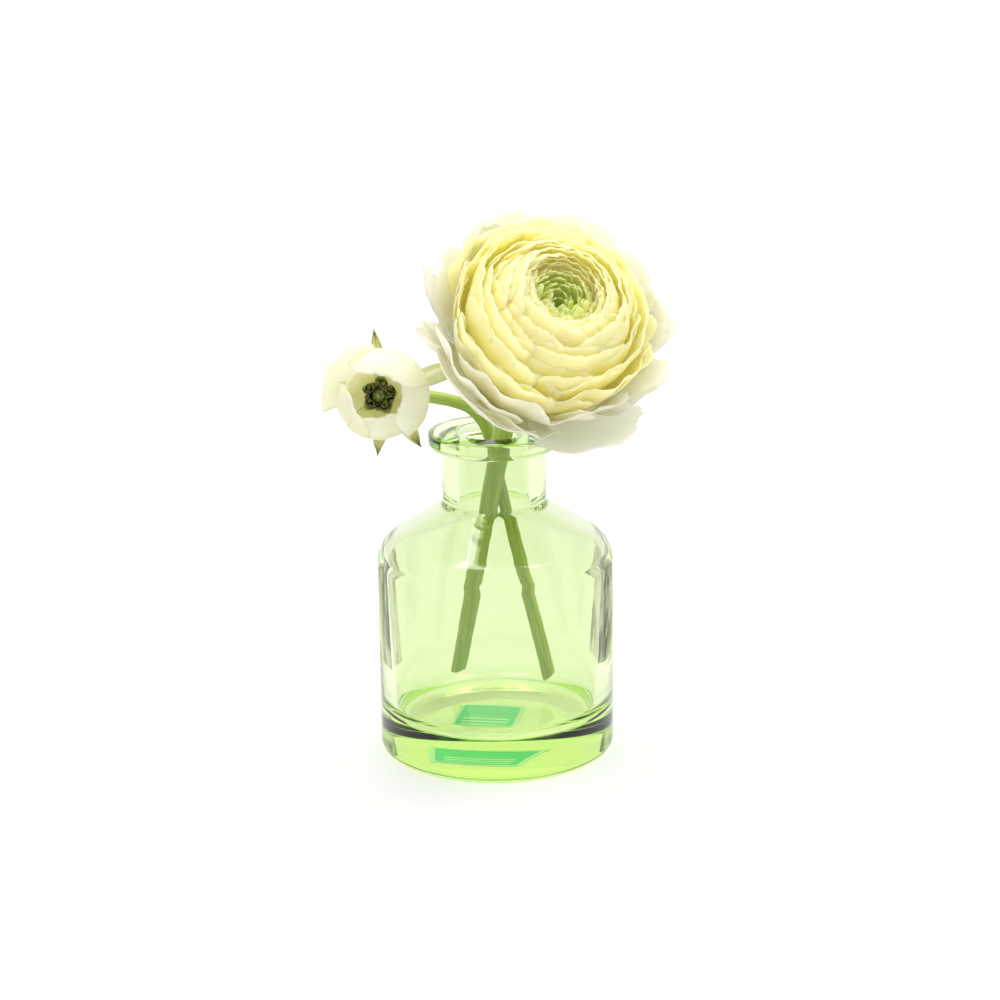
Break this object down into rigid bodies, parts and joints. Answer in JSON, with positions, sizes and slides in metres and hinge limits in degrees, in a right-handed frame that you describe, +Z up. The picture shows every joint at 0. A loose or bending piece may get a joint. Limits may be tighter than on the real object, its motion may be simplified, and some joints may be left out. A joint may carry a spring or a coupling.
{
  "type": "ranunculus stems in a glass bud vase",
  "caption": "Short-necked clear green glass bottle, dry inside, holding a full ivory ranunculus bloom and a smaller half-open bud on cut stems.",
  "frame": {"origin": "centre of the bottle's round foot, on the plane it stands on", "axes": "+Z up along the bottle's axis; the bloom leans out and faces -Y and up, towards a viewer in front; the bud arches out to -X"},
  "size_m": [0.1, 0.0793, 0.1619],
  "materials": {
    "green_glass": "polished clear green bottle glass",
    "label": "printed adhesive film",
    "stem": "smooth fresh green stem",
    "heart": "beaded green carpels",
    "heart_petal": "soft green young petal",
    "bloom_petal": "soft translucent ivory petal, yellower inside",
    "bud_petal": "soft translucent ivory petal",
    "sepal": "papery pale green with a brown tip"
  },
  "bodies": {
    "vase": {"bottle": "green_glass", "foot_label": "label"},
    "bloom": {"bloom_petal_ball_1": "bloom_petal", "bloom_petal_ball_2": "bloom_petal", "bloom_petal_ball_3": "bloom_petal", "bloom_petal_ball_4": "bloom_petal", "bloom_petal_guard_down": "bloom_petal", "bloom_petal_guard_hanging": "bloom_petal", "bloom_petal_guard_left": "bloom_petal", "bloom_petal_guard_right": "bloom_petal", "bloom_petal_guard_top": "bloom_petal", "bloom_petal_heart_1": "heart_petal", "bloom_petal_heart_2": "heart_petal", "bloom_petal_heart_3": "heart_petal", "bloom_petal_inner_a_1": "bloom_petal", "bloom_petal_inner_a_2": "bloom_petal", "bloom_petal_inner_a_3": "bloom_petal", "bloom_petal_inner_a_4": "bloom_petal", "bloom_petal_inner_b_1": "bloom_petal", "bloom_petal_inner_b_2": "bloom_petal", "bloom_petal_inner_b_3": "bloom_petal", "bloom_petal_inner_b_4": "bloom_petal", "bloom_petal_middle_a_1": "bloom_petal", "bloom_petal_middle_a_2": "bloom_petal", "bloom_petal_middle_a_3": "bloom_petal", "bloom_petal_middle_a_4": "bloom_petal", "bloom_petal_middle_b_1": "bloom_petal", "bloom_petal_middle_b_2": "bloom_petal", "bloom_petal_middle_b_3": "bloom_petal", "bloom_petal_middle_b_4": "bloom_petal", "bloom_petal_outer_1": "bloom_petal", "bloom_petal_outer_2": "bloom_petal", "bloom_petal_outer_3": "bloom_petal", "bloom_petal_outer_4": "bloom_petal", "bloom_petal_outer_5": "bloom_petal", "bloom_pistil": "heart", "bloom_receptacle": "stem", "bloom_sepal_1": "sepal", "bloom_sepal_2": "sepal", "bloom_sepal_3": "sepal", "bloom_sepal_4": "sepal", "bloom_sepal_5": "sepal", "bloom_stem": "stem"},
    "bud": {"bud_button": "heart", "bud_petal_inner_1": "bud_petal", "bud_petal_inner_2": "bud_petal", "bud_petal_inner_3": "bud_petal", "bud_petal_left": "bud_petal", "bud_petal_low_left": "bud_petal", "bud_petal_low_right": "bud_petal", "bud_petal_right": "bud_petal", "bud_petal_top": "bud_petal", "bud_receptacle": "stem", "bud_sepal_left": "sepal", "bud_sepal_low_left": "sepal", "bud_sepal_low_right": "sepal", "bud_sepal_right": "sepal", "bud_sepal_top": "sepal", "bud_stem": "stem"}
  },
  "joints": [
    {"name": "bloom_lift", "type": "slide", "parent": "vase", "child": "bloom", "axis": [0.1718, -0.2634, 0.9493], "range_m": [0, 0.1]},
    {"name": "bud_lift", "type": "slide", "parent": "vase", "child": "bud", "axis": [-0.2264, -0.068, 0.9717], "range_m": [0, 0.1]}
  ]
}
